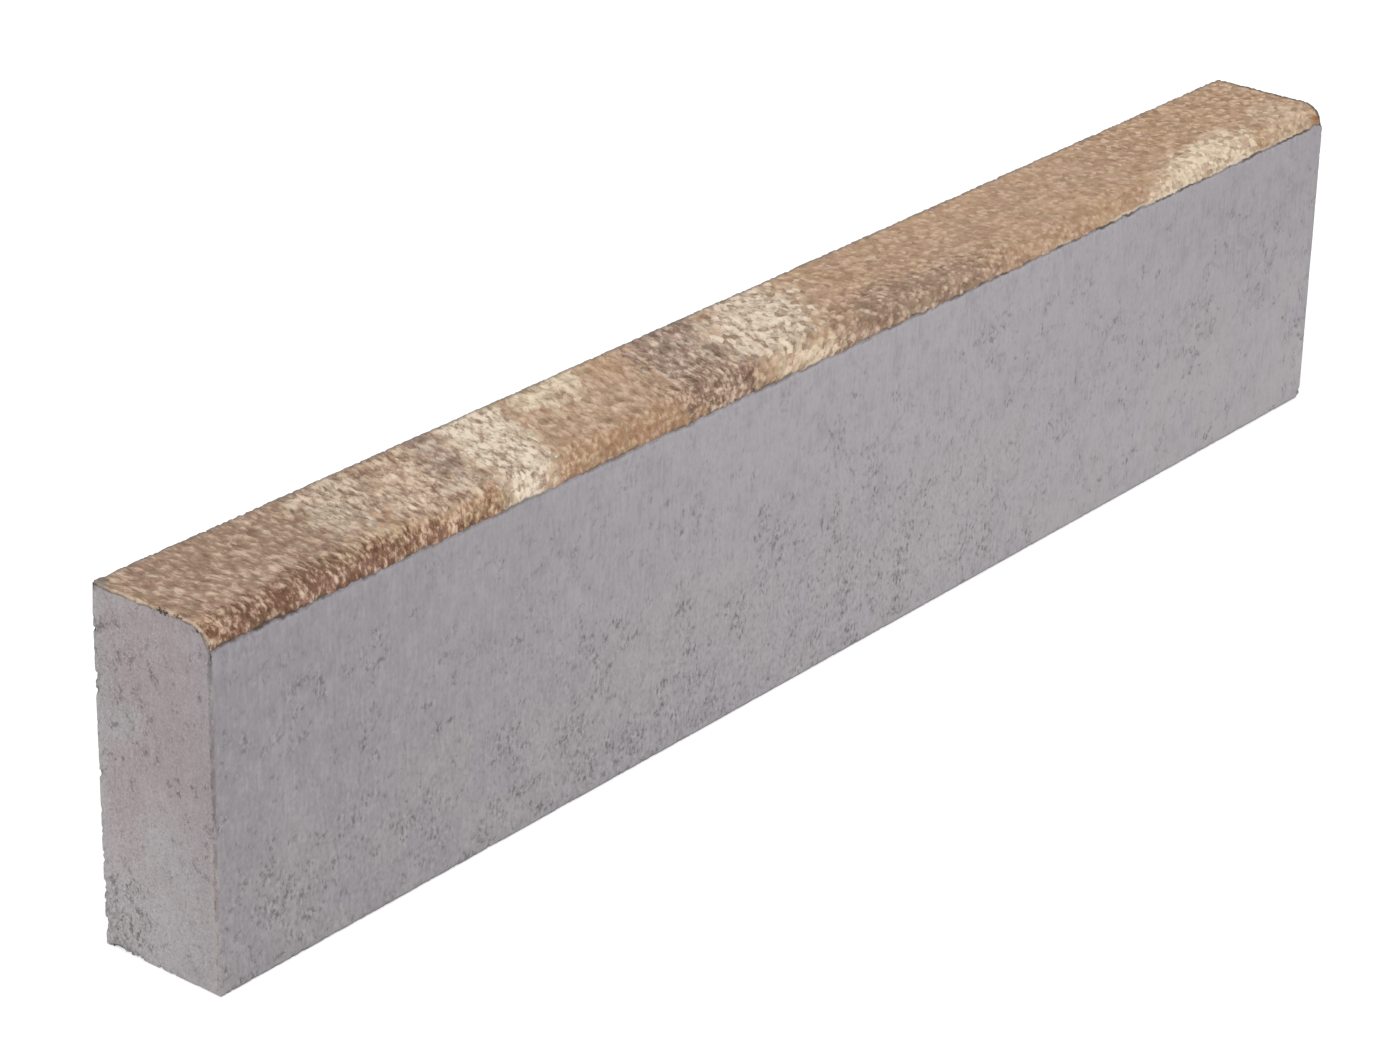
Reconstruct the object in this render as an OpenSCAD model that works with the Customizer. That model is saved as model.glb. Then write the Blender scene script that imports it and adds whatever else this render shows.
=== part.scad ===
// Pressed concrete kerb stone: a long plain block with a flat top and a rounded front top edge.
// Millimetres. X runs along the stone, Y from the front face to the back face, Z up from the base.
// The origin is at the middle of the base, which is the face that the stone is bedded on.

/* [Stone] */
// Length of the stone, from end face to end face
stone_length = 1000; // [200:10:1500]
// Width of the stone, from the front face to the back face
stone_width = 80; // [50:1:200]
// Height of the stone, from the base to the top face
stone_height = 200; // [100:5:400]

/* [Edges] */
// Radius of the rounded front top edge, formed by the press stamp
nose_radius = 15; // [4:0.5:40]
// Radius of the other top edges, along the back and across both ends
top_arris = 1; // [0.5:0.1:4]
// Radius of the edges around the base
base_arris = 1.5; // [0.5:0.1:5]
// Radius of the four upright corners
corner_arris = 1.5; // [0.5:0.1:5]

/* [Hidden] */
$fn = 96;
concrete_grey = "#A29FA2";
// How far a cutting shape runs past the outline that it trims
cut_past = 1;

// The waste outside a quarter circle, for a corner at the origin whose sides run along +X and +Y
module corner_waste(radius) {
    difference() {
        translate([-cut_past, -cut_past]) square(radius + cut_past);
        translate([radius, radius]) circle(radius);
    }
}

// A rectangle that stands on the X axis, centred on it, with a radius of its own at each corner
module rounded_outline(across, up, base_left, base_right, top_left, top_right) {
    difference() {
        translate([-across / 2, 0]) square([across, up]);
        translate([-across / 2, 0]) corner_waste(base_left);
        translate([across / 2, 0]) mirror([1, 0]) corner_waste(base_right);
        translate([-across / 2, up]) mirror([0, 1]) corner_waste(top_left);
        translate([across / 2, up]) mirror([1, 0]) mirror([0, 1]) corner_waste(top_right);
    }
}

// The stone's cross section, run along its whole length: the front is on the left
module section_prism() {
    rotate([90, 0, 90])
        linear_extrude(stone_length, center = true)
            rounded_outline(stone_width, stone_height, base_arris, base_arris, nose_radius, top_arris);
}

// The front view, run across the whole width: it rounds the edges across both ends
module elevation_prism() {
    rotate([90, 0, 0])
        linear_extrude(stone_width, center = true)
            rounded_outline(stone_length, stone_height, base_arris, base_arris, top_arris, top_arris);
}

// The plan, run up the whole height: it rounds the four upright corners
module plan_prism() {
    linear_extrude(stone_height)
        translate([0, -stone_width / 2])
            rounded_outline(stone_length, stone_width, corner_arris, corner_arris, corner_arris, corner_arris);
}

// The whole stone, pressed as one piece
module kerb_stone() {
    color(concrete_grey)
        intersection() {
            section_prism();
            elevation_prism();
            plan_prism();
        }
}

kerb_stone();
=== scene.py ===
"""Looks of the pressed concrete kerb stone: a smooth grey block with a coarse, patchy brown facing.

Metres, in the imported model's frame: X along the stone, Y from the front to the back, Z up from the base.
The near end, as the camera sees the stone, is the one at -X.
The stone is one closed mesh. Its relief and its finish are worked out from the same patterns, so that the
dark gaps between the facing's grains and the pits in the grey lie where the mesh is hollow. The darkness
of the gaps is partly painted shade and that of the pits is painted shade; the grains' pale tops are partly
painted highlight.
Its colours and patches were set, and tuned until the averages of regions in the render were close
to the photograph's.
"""

import math
from collections import namedtuple
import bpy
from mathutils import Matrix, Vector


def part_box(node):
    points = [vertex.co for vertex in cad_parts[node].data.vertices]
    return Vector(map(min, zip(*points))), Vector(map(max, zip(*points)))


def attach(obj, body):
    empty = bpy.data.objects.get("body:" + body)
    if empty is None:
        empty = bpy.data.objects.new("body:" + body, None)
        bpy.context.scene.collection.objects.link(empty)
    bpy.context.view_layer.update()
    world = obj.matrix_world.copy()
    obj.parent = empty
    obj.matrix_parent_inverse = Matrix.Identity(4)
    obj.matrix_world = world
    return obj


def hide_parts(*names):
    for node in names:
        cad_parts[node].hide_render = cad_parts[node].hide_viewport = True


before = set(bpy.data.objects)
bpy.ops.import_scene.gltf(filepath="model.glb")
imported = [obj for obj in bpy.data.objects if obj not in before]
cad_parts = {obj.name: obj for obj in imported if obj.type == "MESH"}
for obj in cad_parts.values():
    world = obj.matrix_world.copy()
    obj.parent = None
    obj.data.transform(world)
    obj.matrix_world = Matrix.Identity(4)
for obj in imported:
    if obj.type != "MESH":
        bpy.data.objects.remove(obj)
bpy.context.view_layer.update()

from types import SimpleNamespace

import bmesh
import bpy
from mathutils import Matrix, Vector

# Sizes of the stone
LOW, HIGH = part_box("kerb_stone")
SIZE = HIGH - LOW
CENTRE = (LOW + HIGH) / 2
HALF_LENGTH = SIZE.x / 2
HALF_WIDTH = SIZE.y / 2
HEIGHT = SIZE.z
MM = 0.001
NOSE_RADIUS = 15 * MM
NOSE_Y = NOSE_RADIUS - HALF_WIDTH
NOSE_Z = HEIGHT - NOSE_RADIUS
ARRIS = 0.8 * MM

# Mesh
SHARP_ANGLE = math.radians(60)
HAIR = 0.01 * MM
NOSE_STEPS = 18
ARRIS_STEPS = 3
ACROSS_STEP = 1.2 * MM
UPRIGHT_STEP = 1.5 * MM
FIRST_CUTS = 99
SECOND_CUTS = 7
TRIANGLES = 190_000
PLACE_NAME = "smooth_place"

# Facing: how far it reaches down the nose, how thick it shows at the ends and the back, how softly it
# ends, and how far below its line the dark seam runs, a joint line with painted shade in its groove
FACING_LINE = HEIGHT - 11.4 * MM
FACING_SKIN = 2.0 * MM
FACING_BLUR = 0.25 * MM
SEAM_DROP = 0.2 * MM

# Sizes of the lumps in each pattern
SLOW = 45 * MM
MOTTLE = 11 * MM
SPOT = 7.5 * MM
GRAIN = 4.2 * MM
FLECK = 2.2 * MM
STREAK = 2.2 * MM
SPECK = 1.2 * MM

# Depths of the relief
GRAIN_DEPTH = 0.7 * MM
PIT_DEPTH = 0.3 * MM
WAVE_DEPTH = 0.12 * MM
SEAM_DEPTH = 0.5 * MM
WEAR_DEPTH = 1.5 * MM
CHIP_DEPTH = 1.4 * MM
LEAST_DEPTH = 0.06 * MM

# Distance from an edge within which its wear is full
FULL_WEAR = 0.2 * MM

# Finish
GREY_ROUGHNESS = 0.93
FACING_ROUGHNESS = 0.84
GREY_BUMP = 0.25 * MM
FACING_BUMP = 0.6 * MM
BUMP_STRENGTH = 0.9

# Stage
FLOOR_SIZE = 12
FLOOR_DROP = 0.2 * MM
FLOOR_WHITE = (0.8, 0.8, 0.8, 1)
FLOOR_GLOW = 0.4
WHITE = (1, 1, 1, 1)
SURROUND_LIGHT = 0.7
LAMP_PLACE = Vector((-6.6, -4.8, 7.8))
LAMP_SIZE = 4.8
LAMP_POWER = 540

# View, as fitted to the photograph
PHOTO_WIDTH_PX = 1400
FOCAL_PX = 4259
SENSOR_MM = 36
VIEW_AZIMUTH = math.radians(-51.86)
VIEW_ELEVATION = math.radians(24.76)
VIEW_ROLL = math.radians(1.36)
VIEW_TARGET = Vector((-0.0806, 0, 0.096))
VIEW_DISTANCE = 2.3544


class Field:
    """A socket of a node tree: sums and products of fields add the Math nodes that work them out."""

    def __init__(self, socket):
        self.socket = socket
        self.tree = socket.id_data

    def node(self, kind, inputs, settings=None, output=0):
        """Adds a node of this kind to the field's tree, as add_node does."""
        return add_node(self.tree, kind, inputs, settings, output)

    def maths(self, operation, *values):
        return self.node("ShaderNodeMath", dict(enumerate(values)), {"operation": operation})

    def __add__(self, other):
        return self.maths("ADD", self, other)

    __radd__ = __add__

    def __mul__(self, other):
        return self.maths("MULTIPLY", self, other)

    __rmul__ = __mul__

    def __sub__(self, other):
        return self.maths("SUBTRACT", self, other)

    def __rsub__(self, other):
        return self.maths("SUBTRACT", other, self)

    def __truediv__(self, other):
        return self.maths("DIVIDE", self, other)

    def __rtruediv__(self, other):
        return self.maths("DIVIDE", other, self)

    def __pow__(self, other):
        return self.maths("POWER", self, other)

    def __abs__(self):
        return self.maths("ABSOLUTE", self)

    def least(self, other):
        return self.maths("MINIMUM", self, other)

    def most(self, other):
        return self.maths("MAXIMUM", self, other)

    def step(self, start, end):
        """0 at start and 1 at end, with a smooth run between them; start may be the larger."""
        sockets = {"Value": self, "From Min": start, "From Max": end}
        return self.node("ShaderNodeMapRange", sockets, {"interpolation_type": "SMOOTHSTEP"})

    def ramp(self, start, end):
        """As step, with a straight run."""
        return self.node("ShaderNodeMapRange", {"Value": self, "From Min": start, "From Max": end})

    def parts(self):
        """The three parts of a vector."""
        split = self.node("ShaderNodeSeparateXYZ", {0: self})
        return [Field(part) for part in split.socket.node.outputs]

    def stretched(self, factors):
        return self.node("ShaderNodeVectorMath", {0: self, 1: factors}, {"operation": "MULTIPLY"})

    def moved(self, offset):
        return self.node("ShaderNodeVectorMath", {0: self, 1: offset}, {"operation": "ADD"})

    def length(self):
        return self.node("ShaderNodeVectorMath", {0: self}, {"operation": "LENGTH"}, output="Value")

    def noise(self, size, detail, roughness=0.5, output=0):
        """Soft noise on a place, about 0.5 all over, with lumps of this size."""
        sockets = {"Vector": self, "Scale": 1 / size, "Detail": detail, "Roughness": roughness}
        return self.node("ShaderNodeTexNoise", sockets, {"noise_dimensions": "3D"}, output)

    def cells(self, size):
        """Cells of this size on a place: the distance from a cell's middle, and the colour that it has."""
        cell = self.node("ShaderNodeTexVoronoi", {"Vector": self, "Scale": 1 / size}, output="Distance")
        return cell, Field(cell.socket.node.outputs["Color"])


def add_node(tree, kind, inputs=None, settings=None, output=0):
    """Adds a node: settings first, then each socket's value or link. Returns the field of one output."""
    node = tree.nodes.new(kind)
    for name, value in (settings or {}).items():
        setattr(node, name, value)
    for key, value in (inputs or {}).items():
        if isinstance(value, Field):
            tree.links.new(value.socket, node.inputs[key])
        else:
            node.inputs[key].default_value = value
    return Field(node.outputs[output]) if node.outputs else None


def bare_tree(owner):
    """The emptied node tree of a material or a world."""
    owner.use_nodes = True
    owner.node_tree.nodes.clear()
    return owner.node_tree


def mixed(factor, below, above, blend="MIX"):
    """A colour between two colours. The Mix node's colour sockets are its seventh and eighth."""
    settings = {"data_type": "RGBA", "blend_type": blend}
    return factor.node("ShaderNodeMix", {0: factor, 6: below, 7: above}, settings, output=2)


def between(factor, below, above):
    """A value between two values."""
    return below + factor * (above - below)


def colour(red, green, blue):
    """A colour as seen on a screen, 0 to 255, in the linear light that sockets take."""
    def linear(level):
        share = level / 255
        return share / 12.92 if share <= 0.04045 else ((share + 0.055) / 1.055) ** 2.4
    return (linear(red), linear(green), linear(blue), 1)


# Chips at the two ends: their middles and their half sizes
CHIPS = [
    ((-0.500, -0.040, 0.1855), (1.5 * MM, 1.5 * MM, 4.5 * MM)),
    ((-0.500, -0.031, 0.1960), (1.4 * MM, 2.2 * MM, 1.6 * MM)),
    ((-0.500, -0.018, 0.1995), (1.4 * MM, 2.6 * MM, 1.6 * MM)),
    ((-0.500, -0.007, 0.1995), (2.0 * MM, 3.6 * MM, 2.6 * MM)),
    ((-0.500, 0.039, 0.1985), (2.2 * MM, 2.2 * MM, 2.6 * MM)),
    ((0.500, -0.039, 0.1890), (2.4 * MM, 2.4 * MM, 3.6 * MM)),
    ((-0.500, 0.040, 0.0320), (2.2 * MM, 2.4 * MM, 4.5 * MM)),
    ((-0.500, 0.040, 0.0130), (2.0 * MM, 2.2 * MM, 4.0 * MM)),
    ((-0.500, 0.030, 0.0000), (2.2 * MM, 5.0 * MM, 2.0 * MM)),
    ((0.500, -0.040, 0.0000), (4.0 * MM, 4.0 * MM, 5.0 * MM)),
]


def survey(place):
    """What lies where on the stone, from a point's place on the smooth block."""
    found = SimpleNamespace(place=place)
    found.x, found.y, found.z = place.parts()
    found.slow = place.noise(SLOW, 1, output="Color").parts()
    found.mottle = place.noise(MOTTLE, 2, output="Color").parts()
    found.spot = place.noise(SPOT, 2)
    # Flecks are drawn out upwards, as the mould came off
    found.fleck = place.stretched((1, 1, 0.65)).noise(FLECK, 2, 0.7)
    measure_edges(found)
    brush_grains(found)
    lay_facing(found)
    gather_pits(found)
    wear_edges(found)
    return found


def measure_edges(found):
    """Distances from the ends, from the nose with the faces beside it, and from the edges."""
    from_back = HALF_WIDTH - found.y
    forward = (NOSE_Y - found.y).most(0)
    upward = (found.z - NOSE_Z).most(0)
    found.nose_gap = NOSE_RADIUS - (forward * forward + upward * upward) ** 0.5
    found.end_gap = HALF_LENGTH - abs(found.x)
    found.end_edge = found.end_gap + found.nose_gap.least(from_back).least(found.z)
    found.back_edge = from_back + found.z.least(HEIGHT - found.z)
    found.base_front_edge = (HALF_WIDTH + found.y) + found.z
    found.on_end = found.end_gap.step(2 * MM, 0.6 * MM)
    found.near = found.x.step(0.2, -0.4)


def brush_grains(found):
    """Grains of the facing: round on the far half, brushed across the near half, finer to the near end."""
    from_back = HALF_WIDTH - found.y
    from_top = HEIGHT - found.z
    found.across = from_back + from_top
    found.brushed = found.x.step(0.06, -0.1)
    lean = found.brushed * found.x.step(-0.46, -0.3) * 0.42
    over_nose = found.x.step(-0.22, -0.32)
    near_half = found.x.least(0)
    lengthways = found.x * (1 - near_half * 0.3) + found.across * lean
    sideways = from_back * (1 - found.brushed * 0.55) + from_top * (1 - over_nose * 0.42)
    sideways = sideways * (1 - near_half * 0.6)
    swept = found.place.node("ShaderNodeCombineXYZ", {0: lengthways, 1: sideways})
    found.stroke = swept.noise(GRAIN, 3, 0.72)
    lump, chance = swept.cells(0.9 * GRAIN)
    found.chance = chance.parts()
    grain = (found.stroke - 0.5) * between(found.brushed, 3.2, 4.2)
    grain = grain + (0.45 - lump) * between(found.brushed, 1.5, 0.7)
    found.grain = grain + (found.mottle[0] - 0.5) * between(found.brushed, 1.0, 1.6)


def lay_facing(found):
    """The facing: down to a ragged line low on the nose, and a thin skin at the ends and the back."""
    ragged = (found.mottle[1] - 0.5) * (3.4 * MM) + (found.stroke - 0.5) * (2.6 * MM)
    found.above_line = found.z - FACING_LINE + ragged
    skin = FACING_SKIN - found.nose_gap + ragged * 0.4
    found.facing = found.above_line.step(-FACING_BLUR, FACING_BLUR) * skin.step(-FACING_BLUR, FACING_BLUR)

    # A dark seam under the line, a joint line with painted shade in its groove, thinner and darker on the
    # far half, and nicks along the skin at the ends
    far_half = found.x.step(0.06, 0.16)
    reach = between(far_half, 1.9 * MM, 1.3 * MM)
    seam = abs(found.above_line + SEAM_DROP).step(reach, 0.2 * MM)
    seam = seam * found.nose_gap.step(1.6 * MM, 0.4 * MM)
    seam = seam * between(found.mottle[2].step(0.42, 0.6), 0.4, 1.0) * (1 - found.on_end)
    found.seam = seam * (between(found.x.step(-0.39, -0.45), 0.62, 1.0) + far_half * 0.34)
    nick = abs(skin + SEAM_DROP).step(0.7 * MM, 0.2 * MM) * found.on_end
    found.nick = nick * found.fleck.step(0.5, 0.62)


def gather_pits(found):
    """Pits of the grey, in clusters: most are low on the long faces and in two places on the ends."""
    x, y, z = found.x, found.y, found.z
    found.low_down = z.step(0.15, 0.02)
    high_at_back = z.step(0.09, 0.14) * z.step(0.19, 0.17) * y.step(-0.02, 0.015)
    low_at_back = z.step(0.055, 0.03) * y.step(0.0, 0.02)
    found.marked_end = high_at_back.most(low_at_back)
    crowd = (found.spot - 0.5) + (found.slow[1] - 0.5) * 0.7 - x.most(0) * 0.1
    crowd = crowd + between(found.on_end, found.low_down * 0.06, found.marked_end * 0.14)
    crowd = crowd + x.step(0.38, 0.46) * z.step(0.05, 0.12) * (1 - found.on_end) * 0.08
    cluster = crowd.step(0.0, 0.25) * between(found.slow[0].step(0.38, 0.58), 0.45, 1.0)
    below_facing = z.step(0.185, 0.15).most(found.on_end * z.step(0.196, 0.18))
    found.cluster = cluster * between(below_facing, 0.3, 1.0)
    found.pit = (found.fleck + found.cluster * 0.13).step(0.6, 0.74)


def wear_edges(found):
    """Wear along the edges, most of it at the near end and on the back edges, and single chips."""
    x, y, z = found.x, found.y, found.z
    end_wear = found.end_edge.step(4 * MM, FULL_WEAR) * between(y.step(-0.03, 0.02), 0.2, 1.0)
    end_wear = end_wear * between(z.step(0.05, 0.01), 1.0, 1.5) * between(x.step(0.2, 0.4), 1.0, 0.35)
    back_wear = found.back_edge.step(3.5 * MM, FULL_WEAR) * between(x.step(-0.1, -0.35), 0.26, 0.44)
    front_wear = found.base_front_edge.step(2.5 * MM, FULL_WEAR) * 0.2
    nibble = (found.mottle[0] - 0.5) * 0.4 + (found.spot - 0.5) * 0.7 + found.fleck
    found.wear = end_wear.most(back_wear).most(front_wear) * nibble.step(0.48, 0.66)
    found.chip = 0
    for middle, half_sizes in CHIPS:
        beyond = place_in_chip(found.place, middle, half_sizes).length() + (found.fleck - 0.5) * 4.0
        found.chip = beyond.step(1.0, 0.7).most(found.chip)


def place_in_chip(place, middle, half_sizes):
    """A place measured from a chip's middle, in the chip's half sizes."""
    return place.moved([-value for value in middle]).stretched([1 / size for size in half_sizes])


def select_edges(stone, wanted):
    """In edit mode, selects just the edges whose run from end to end is wanted."""
    bpy.ops.mesh.select_all(action="DESELECT")
    edit = bmesh.from_edit_mesh(stone.data)
    for edge in edit.edges:
        edge.select_set(wanted(*(corner.co for corner in edge.verts)))
    bmesh.update_edit_mesh(stone.data)


def levels(start, end, step):
    """Evenly spaced places between two ends, without the ends, about a step apart."""
    count = round((end - start) / step)
    return [start + (end - start) * share / count for share in range(1, count)]


def press_block():
    """The smooth block with its round nose and eased arrises, cut into a fine grid on every face."""
    bpy.ops.object.select_all(action="DESELECT")
    bpy.ops.mesh.primitive_cube_add(size=1, location=CENTRE, scale=SIZE)
    stone = bpy.context.object
    stone.name = "pressed_stone"
    bpy.ops.object.transform_apply(location=True, rotation=True, scale=True)
    bpy.ops.object.mode_set(mode="EDIT")
    bpy.ops.mesh.select_mode(type="EDGE")

    def on_nose(first, second):
        return all(end.y < 0 and end.z > HEIGHT / 2 for end in (first, second))

    def along_stone(first, second):
        return abs(first.x - second.x) > 2 * ARRIS and (first - second).yz.length < HAIR

    select_edges(stone, on_nose)
    bpy.ops.mesh.bevel(offset=NOSE_RADIUS, segments=NOSE_STEPS, affect="EDGES")
    bpy.ops.mesh.select_all(action="DESELECT")
    bpy.ops.mesh.edges_select_sharp(sharpness=SHARP_ANGLE)
    bpy.ops.mesh.bevel(offset=ARRIS, segments=ARRIS_STEPS, affect="EDGES")
    for across in levels(NOSE_Y, HALF_WIDTH - ARRIS, ACROSS_STEP):
        bpy.ops.mesh.select_all(action="SELECT")
        bpy.ops.mesh.bisect(plane_co=(0, across, 0), plane_no=(0, 1, 0))
    for up in levels(ARRIS, NOSE_Z, UPRIGHT_STEP):
        bpy.ops.mesh.select_all(action="SELECT")
        bpy.ops.mesh.bisect(plane_co=(0, 0, up), plane_no=(0, 0, 1))
    for cuts in (FIRST_CUTS, SECOND_CUTS):
        select_edges(stone, along_stone)
        bpy.ops.mesh.subdivide(number_cuts=cuts)
    bpy.ops.object.mode_set(mode="OBJECT")
    return stone


def roughen(stone):
    """Sinks the block's surface into grains, pits and chips, and notes where each point lay before."""
    tree = bpy.data.node_groups.new("roughen", "GeometryNodeTree")
    for direction in ("INPUT", "OUTPUT"):
        tree.interface.new_socket("Geometry", in_out=direction, socket_type="NodeSocketGeometry")
    smooth = add_node(tree, "NodeGroupInput")
    place = add_node(tree, "GeometryNodeInputPosition")
    outward = add_node(tree, "GeometryNodeInputNormal")
    found = survey(place)
    grey_depth = found.pit * PIT_DEPTH + found.mottle[0] * WAVE_DEPTH
    facing_depth = found.grain.step(0.5, -1.3) * GRAIN_DEPTH
    depth = between(found.facing, grey_depth, facing_depth) + LEAST_DEPTH
    depth = depth + found.seam * SEAM_DEPTH + found.wear * WEAR_DEPTH + found.chip * CHIP_DEPTH
    inward = outward.node("ShaderNodeVectorMath", {0: outward, 3: depth * -1}, {"operation": "SCALE"})
    noted = place.node("GeometryNodeStoreNamedAttribute",
                       {"Geometry": smooth, "Name": PLACE_NAME, "Value": place},
                       {"data_type": "FLOAT_VECTOR", "domain": "POINT"})
    rough = place.node("GeometryNodeSetPosition", {"Geometry": noted, "Offset": inward})
    add_node(tree, "NodeGroupOutput", {0: rough})
    modifier = stone.modifiers.new("roughen", "NODES")
    modifier.node_group = tree
    bpy.ops.object.modifier_apply(modifier=modifier.name)


def thin_out(stone):
    """Leaves the mesh fine where it is rough and coarse where it is flat, and shades it smooth."""
    stone.data.calc_loop_triangles()
    modifier = stone.modifiers.new("thin_out", "DECIMATE")
    modifier.ratio = TRIANGLES / len(stone.data.loop_triangles)
    bpy.ops.object.modifier_apply(modifier=modifier.name)
    bpy.ops.object.shade_smooth()
    modifier = stone.modifiers.new("weigh_normals", "WEIGHTED_NORMAL")
    bpy.ops.object.modifier_apply(modifier=modifier.name)


# Colours of the facing's mixes
TAN = colour(181, 149, 121)
BUFF = colour(158, 131, 111)
OCHRE = colour(185, 152, 121)
SIENNA = colour(170, 134, 103)
CREAM = colour(227, 213, 192)
IVORY = colour(227, 209, 183)
PALE_GREY = colour(199, 184, 167)
MAUVE = colour(161, 140, 126)
UMBER = colour(131, 94, 72)
RUST = colour(165, 118, 66)
ROSY = colour(196, 171, 149)

# Patches of the facing: the mix, its middle along the stone and across from the back edge,
# its half length and half width, how far it leans to the near end on its way across, its strength, and how
# much its grains differ
Patch = namedtuple("Patch", "mix along across half_length half_width lean strength contrast")
PATCHES = [
    Patch(BUFF, -0.440, 0.030, 0.080, 0.080, 0.0, 0.9, 1.0),
    Patch(SIENNA, -0.318, 0.092, 0.055, 0.024, 0.0, 0.8, 1.5),
    Patch(UMBER, -0.430, 0.093, 0.108, 0.025, 0.0, 0.9, 1.4),
    Patch(PALE_GREY, -0.352, 0.024, 0.028, 0.036, 0.5, 0.62, 1.9),
    Patch(PALE_GREY, -0.315, 0.055, 0.040, 0.017, 0.0, 0.65, 1.75),
    Patch(ROSY, -0.312, 0.028, 0.022, 0.044, 0.4, 0.8, 1.6),
    Patch(MAUVE, -0.277, 0.020, 0.015, 0.028, 0.4, 0.95, 1.25),
    Patch(SIENNA, -0.180, 0.088, 0.060, 0.028, 0.0, 0.85, 0.8),
    Patch(CREAM, -0.248, 0.036, 0.024, 0.068, 0.42, 1.0, 1.66),
    Patch(ROSY, -0.175, 0.047, 0.050, 0.022, 0.0, 0.3, 1.1),
    Patch(IVORY, -0.178, 0.010, 0.027, 0.021, 0.4, 0.95, 1.35),
    Patch(MAUVE, -0.092, 0.042, 0.033, 0.080, 0.35, 0.86, 1.45),
    Patch(UMBER, -0.104, 0.070, 0.030, 0.022, 0.35, 0.45, 1.6),
    Patch(CREAM, -0.024, 0.034, 0.039, 0.042, 0.5, 0.84, 1.68),
    Patch(IVORY, -0.022, 0.096, 0.050, 0.018, 0.0, 0.75, 1.5),
    Patch(BUFF, 0.072, 0.084, 0.075, 0.032, 0.0, 0.95, 0.9),
    Patch(SIENNA, 0.220, 0.090, 0.090, 0.030, 0.0, 0.2, 0.6),
    Patch(OCHRE, 0.430, 0.030, 0.110, 0.060, 0.0, 0.7, 0.98),
    Patch(IVORY, 0.366, 0.086, 0.056, 0.030, 0.8, 0.92, 1.02),
    Patch(IVORY, 0.466, 0.076, 0.026, 0.026, 0.0, 0.3, 1.0),
    Patch(RUST, 0.494, 0.092, 0.007, 0.010, 0.0, 0.9, 0.8),
]

# The facing between its patches, its grains and its edges
NEAR_CONTRAST = 0.92
FAR_CONTRAST = 0.62
# Pale grains, partly painted highlight on their tops, and the tint of the gaps, partly painted shade in
# the hollows
GRAIN_PALE_AND_HIGHLIGHT = colour(250, 229, 204)
GAP_AND_SHADE_TINT = (0.42, 0.33, 0.27, 1)
OLIVE = colour(158, 144, 112)
ROSE = colour(186, 148, 134)
RIM_GREY = colour(112, 109, 105)
FAR_EDGE = colour(68, 63, 54)
# The seam's dark joint line, with painted shade in its groove
SEAM_AND_SHADE_BROWN = colour(66, 52, 44)
NICK_BROWN = colour(84, 74, 68)
# Painted shade in the hollows of chips
CHIP_SHADE_BROWN = colour(48, 40, 36)


def patched_mixes(found):
    """The colour of the facing's patches, and how much the grains differ in each."""
    along = found.x + (found.mottle[0] - 0.5) * (22 * MM)
    across = found.across + (found.mottle[1] - 0.5) * (20 * MM)
    break_up = (found.stroke - 0.5) * 3.0 + (found.chance[1] - 0.5) * 0.9
    shown = mixed(found.slow[0].step(0.35, 0.65), TAN, OCHRE)
    contrast = between(found.x.step(0.25, -0.1), FAR_CONTRAST, NEAR_CONTRAST)
    for patch in PATCHES:
        beyond_along = (along - patch.along + (across - patch.across) * patch.lean) / patch.half_length
        beyond_across = (across - patch.across) / patch.half_width
        beyond = beyond_along * beyond_along + beyond_across * beyond_across + break_up
        inside = beyond.step(1.4, 0.6) * patch.strength
        shown = mixed(inside, shown, patch.mix)
        contrast = between(inside, contrast, patch.contrast)
    return shown, contrast


def edged_facing(found, shown):
    """The facing with its edges: a pale brim and near edge, a grey back edge and a dark far edge."""
    brim = found.above_line.step(2.6 * MM, 0.8 * MM) * found.x.step(0.1, 0.18)
    brim = brim * found.slow[1].step(0.4, 0.6)
    shown = mixed(brim * 0.6, shown, CREAM)
    near_edge = found.end_edge.step(1.8 * MM, 0.6 * MM) * found.near
    shown = mixed(near_edge * 0.4, shown, CREAM)
    near_corner = (HALF_LENGTH + found.x + found.across - 6 * MM) * 0.5
    rim = found.across.least(HALF_LENGTH - found.x + found.nose_gap).least(near_corner)
    shown = mixed(rim.step(4.5 * MM, 1.0 * MM) * 0.65, shown, RIM_GREY)
    far_edge = found.end_edge.step(4.0 * MM, 1.6 * MM) * (1 - found.near)
    return mixed(far_edge * 0.85, shown, FAR_EDGE)


def facing_colour(found):
    """The facing's colour: patches of several mixes, with paler grains, partly painted highlight on their
    tops, and dark gaps between them, partly painted shade in the hollows.
    """
    shown, contrast = patched_mixes(found)
    greenish = found.mottle[2].step(0.5, 0.68) * between(found.brushed, 0.2, 0.3)
    shown = mixed(greenish, shown, OLIVE)
    shown = mixed(found.mottle[2].step(0.5, 0.32) * 0.28, shown, ROSE)
    grain = found.grain + (found.chance[0] - 0.5) * between(found.brushed, 1.2, 0.7)
    # Pale grains: grain colour, with painted highlight on the raised tops
    shown = mixed(grain.ramp(0.0, 1.3) * contrast * 0.52, shown, GRAIN_PALE_AND_HIGHLIGHT)
    # Dark gaps: grain colour, with painted shade in the hollows between the grains
    gap_and_shade = (0.5 - found.stroke) * between(found.brushed, 3.2, 4.4)
    gap_and_shade = gap_and_shade + (0.5 - found.mottle[0]) * between(found.brushed, 1.0, 1.6)
    gap_and_shade = gap_and_shade + (0.5 - found.chance[0]) * between(found.brushed, 1.6, 0.9)
    shown = mixed(gap_and_shade.ramp(-0.3, 1.4) * contrast, shown, GAP_AND_SHADE_TINT, "MULTIPLY")
    return edged_facing(found, shown)


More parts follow.
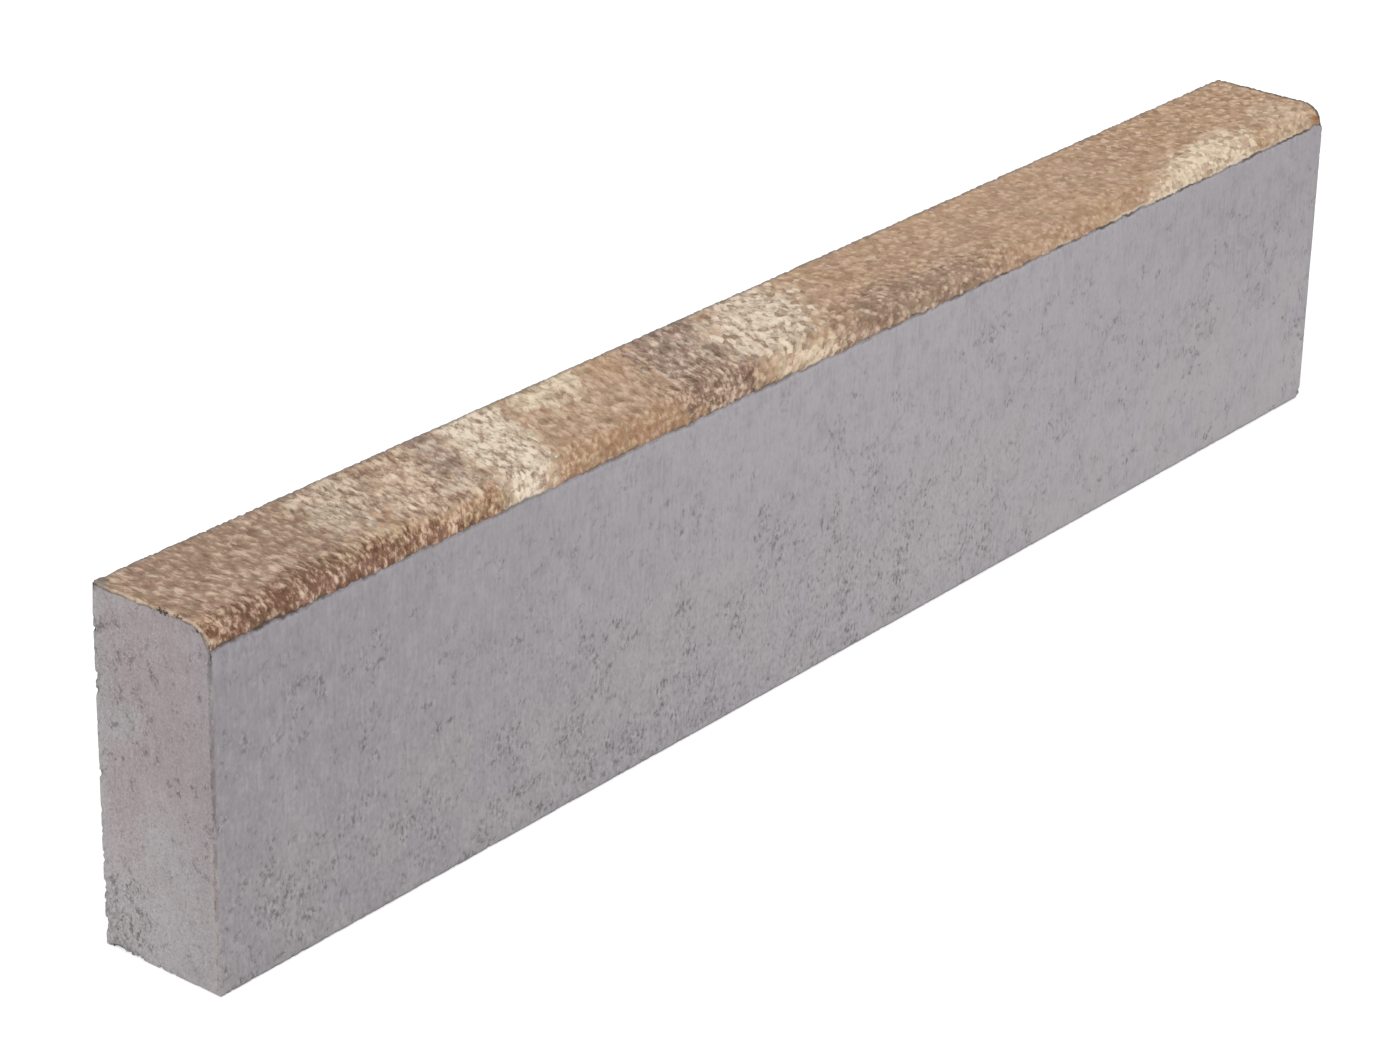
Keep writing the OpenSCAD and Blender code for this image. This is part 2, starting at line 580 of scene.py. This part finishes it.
# Colours of the grey
# Colours of the long faces at the near and far ends; the far ones are paler by a painted light gradient
VIOLET_NEAR = colour(148, 142, 147)
VIOLET_FAR_LIT = colour(173, 168, 172)
DUSTY_NEAR = colour(151, 147, 144)
DUSTY_FAR_LIT = colour(174, 171, 168)
END_GREY = colour(165, 160, 161)
END_MAUVE = colour(159, 146, 149)
END_FRONT = colour(150, 143, 145)
SMEAR_PALE = colour(190, 186, 188)
SMEAR_DARK = colour(116, 112, 114)
CLUSTER_GREY = colour(100, 97, 96)
BLOOM = colour(214, 210, 212)
RUBBED = colour(184, 171, 166)
DUST_DARK = colour(88, 85, 84)
DUST_PALE = colour(204, 201, 201)
# Dark marks on the grey; the same grey is painted shade on the front arrises
MARK_AND_SHADE_GREY = colour(84, 78, 78)
# Painted shade in the grey's pits; the same grey draws the hair cracks
PIT_SHADE_AND_CRACK_GREY = colour(84, 80, 78)


def plain_grey(found):
    """The grey alone: violet on the long faces, paler away from the near end as a painted light gradient,
    and mauve on the ends.
    """
    # Painted light: the long faces grow paler towards the far end
    paler_above = found.x.step(-0.65, 0.05) * between(found.x.step(0.1, 0.5), 1.0, 0.75)
    paler = between(found.z.step(0.03, 0.17), found.x.step(-0.7, 0.35), paler_above)
    long_face = mixed(paler, VIOLET_NEAR, VIOLET_FAR_LIT)
    dusty_face = mixed(paler, DUSTY_NEAR, DUSTY_FAR_LIT)
    long_face = mixed(found.slow[2].step(0.42, 0.62) * found.low_down * 0.4, long_face, dusty_face)
    mauve = (found.mottle[0] * 0.3 + found.slow[0] * 0.7).step(0.32, 0.58)
    mauve = mauve * found.z.step(0.02, 0.08) * found.y.step(0.04, 0.03)
    end_face = mixed(mauve, END_GREY, END_MAUVE)
    end_face = mixed(found.y.step(0.01, -0.04) * 0.6, end_face, END_FRONT)
    return mixed(found.on_end, long_face, end_face)


def smeared_grey(found):
    """The grey with smears, darker clusters, a pale bloom low down and rubbed front edges on the ends."""
    grey = plain_grey(found)
    streak = found.place.stretched((1, 1, 0.15)).noise(STREAK, 1)
    smear = (found.mottle[1] - 0.5) * 0.8 + (streak - 0.5) * 0.7 + (found.slow[2] - 0.5) * 0.4
    strength = between(found.on_end, 0.2, 0.12)
    grey = mixed(smear.step(0.0, 0.25) * strength, grey, SMEAR_PALE)
    grey = mixed(smear.step(0.0, -0.25) * strength, grey, SMEAR_DARK)
    grey = mixed(found.cluster * 0.12, grey, CLUSTER_GREY)
    grey = mixed(found.low_down * 0.07, grey, BLOOM)
    rubbed = found.nose_gap.step(7 * MM, 3 * MM) * found.z.step(0.11, 0.07) * found.on_end
    return mixed(rubbed * 0.25, grey, RUBBED)


def grey_colour(found):
    """The grey's colour: the smeared grey with dust, dark marks, pits darkened with painted shade, and
    hair cracks.
    """
    grey = smeared_grey(found)
    speck = found.place.noise(SPECK, 2, 0.6)
    dust = between(found.on_end * 0.8, found.fleck, speck)
    end_dust = found.on_end * between(found.y.step(-0.01, 0.03), 0.4, 0.65)
    low_dust = found.low_down * found.x.step(0.3, 0.05) * between(found.x.step(-0.4, -0.1), 0.25, 0.45)
    dusty = between(found.cluster, 0.25, 1.0) + end_dust + low_dust
    grey = mixed(dust.step(0.5, 0.7) * dusty * 0.4, grey, DUST_DARK)
    grey = mixed(dust.step(0.5, 0.3) * dusty * 0.3, grey, DUST_PALE)
    crowded = found.on_end * found.marked_end * 0.06
    mark = (found.spot + (found.mottle[0] - 0.5) * 0.5 + crowded).step(0.58, 0.68)
    mark = mark * found.fleck.step(0.5, 0.6)
    on_faces = between(found.z.step(0.15, 0.09), 0.08, 0.16)
    on_ends = between(found.z.step(0.03, 0.12).most(found.marked_end), 0.2, 0.42)
    grey = mixed(mark * between(found.on_end, on_faces, on_ends), grey, MARK_AND_SHADE_GREY)
    # Painted shade in the pits, which are hollow in the mesh
    pitted = found.cluster * between(found.on_end, 0.35, 0.45)
    grey = mixed(found.pit * pitted * 0.6, grey, PIT_SHADE_AND_CRACK_GREY)
    crack = abs(found.mottle[0] + (found.fleck - 0.5) * 1.2 - 0.5).step(0.022, 0.004)
    return mixed(crack * pitted, grey, PIT_SHADE_AND_CRACK_GREY)


def stone_colour(found):
    """Both mixes, with painted shade on the front arrises, the seam under the facing with painted shade in
    its groove, nicks, and painted shade in the hollow chips.
    """
    shown = mixed(found.facing, grey_colour(found), facing_colour(found))
    # Painted shade along the front upright arrises of the ends and along the front base edge
    end_arris_shade = abs(found.nose_gap - ARRIS) + found.end_gap * 1.4
    end_arris_shade = end_arris_shade.step(3.0 * MM, 0.6 * MM) * found.y.step(-0.03, -0.037) * 0.7
    end_arris_shade = end_arris_shade * found.z.step(-0.04, 0.1) * found.mottle[1].step(0.3, 0.6)
    base_arris_shade = found.base_front_edge.step(2.2 * MM, 0.4 * MM) * 0.5
    shown = mixed(end_arris_shade.most(base_arris_shade) * 0.75, shown, MARK_AND_SHADE_GREY)
    # The seam: a dark joint line, with painted shade in its groove
    shown = mixed(found.seam * 0.85, shown, SEAM_AND_SHADE_BROWN)
    shown = mixed(found.nick * 0.5, shown, NICK_BROWN)
    # Painted shade in the hollows of the upper chips, strongest towards the front
    hollow = found.chip * found.z.step(0.1, 0.15) * between(found.y.step(0.03, 0.036), 0.85, 0.3)
    return mixed(hollow, shown, CHIP_SHADE_BROWN)


def concrete():
    """One material for the whole stone, because both mixes were pressed in one mould."""
    material = bpy.data.materials.new("pressed_concrete")
    tree = bare_tree(material)
    place = add_node(tree, "ShaderNodeAttribute", settings={"attribute_name": PLACE_NAME}, output="Vector")
    found = survey(place)
    roughness = between(found.facing, GREY_ROUGHNESS, FACING_ROUGHNESS)
    eased = found.facing.step(0, 1)
    height = between(eased, found.fleck * -GREY_BUMP, found.stroke * FACING_BUMP)
    bump = place.node("ShaderNodeBump", {"Height": height, "Distance": 1, "Strength": BUMP_STRENGTH})
    surface = place.node("ShaderNodeBsdfPrincipled",
                         {"Base Color": stone_colour(found), "Roughness": roughness, "Normal": bump})
    add_node(tree, "ShaderNodeOutputMaterial", {"Surface": surface})
    return material


def lay_floor():
    """A wide white floor that keeps the stone's soft shadow."""
    bpy.ops.object.select_all(action="DESELECT")
    bpy.ops.mesh.primitive_plane_add(size=FLOOR_SIZE, location=(0, 0, -FLOOR_DROP))
    floor = bpy.context.object
    floor.name = "floor"
    bpy.ops.object.transform_apply(location=True, rotation=True, scale=True)
    material = bpy.data.materials.new("white_floor")
    tree = bare_tree(material)
    camera_ray = add_node(tree, "ShaderNodeLightPath", output="Is Camera Ray")
    matte = add_node(tree, "ShaderNodeBsdfDiffuse", {"Color": FLOOR_WHITE})
    glow = add_node(tree, "ShaderNodeEmission", {"Strength": camera_ray * FLOOR_GLOW})
    both = add_node(tree, "ShaderNodeAddShader", {0: matte, 1: glow})
    add_node(tree, "ShaderNodeOutputMaterial", {"Surface": both})
    floor.data.materials.append(material)


def light_stage():
    """An even white surround with one large soft lamp to the upper left of the camera."""
    world = bpy.data.worlds.new("white_studio")
    bpy.context.scene.world = world
    tree = bare_tree(world)
    shown = add_node(tree, "ShaderNodeLightPath", output="Is Camera Ray")
    for ray in ("Is Glossy Ray", "Is Transmission Ray"):
        shown = shown.most(add_node(tree, "ShaderNodeLightPath", output=ray))
    strength = between(shown, SURROUND_LIGHT, 1.0)
    surround = add_node(tree, "ShaderNodeBackground", {"Color": WHITE, "Strength": strength})
    add_node(tree, "ShaderNodeOutputWorld", {"Surface": surround})

    bpy.ops.object.light_add(type="AREA", location=LAMP_PLACE)
    lamp = bpy.context.object
    lamp.name = "soft_lamp"
    lamp.data.shape = "SQUARE"
    lamp.data.size = LAMP_SIZE
    lamp.data.energy = LAMP_POWER
    lamp.rotation_euler = (-LAMP_PLACE).to_track_quat("-Z", "Y").to_euler()


def place_camera():
    """The camera of the photograph, with its small roll."""
    turn = Matrix.Rotation(VIEW_AZIMUTH, 4, "Z") @ Matrix.Rotation(math.pi / 2 - VIEW_ELEVATION, 4, "X")
    turn = turn @ Matrix.Rotation(VIEW_ROLL, 4, "Z")
    eye = VIEW_TARGET + turn.col[2].to_3d() * VIEW_DISTANCE
    bpy.ops.object.camera_add()
    camera = bpy.context.object
    camera.name = "camera"
    camera.matrix_world = Matrix.Translation(eye) @ turn
    camera.data.sensor_width = SENSOR_MM
    camera.data.lens = FOCAL_PX / PHOTO_WIDTH_PX * SENSOR_MM
    bpy.context.scene.camera = camera


stone = press_block()
roughen(stone)
thin_out(stone)
stone.data.materials.clear()
stone.data.materials.append(concrete())
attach(stone, "root")
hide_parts("kerb_stone")

lay_floor()
light_stage()
place_camera()
bpy.context.scene.view_settings.view_transform = "Standard"
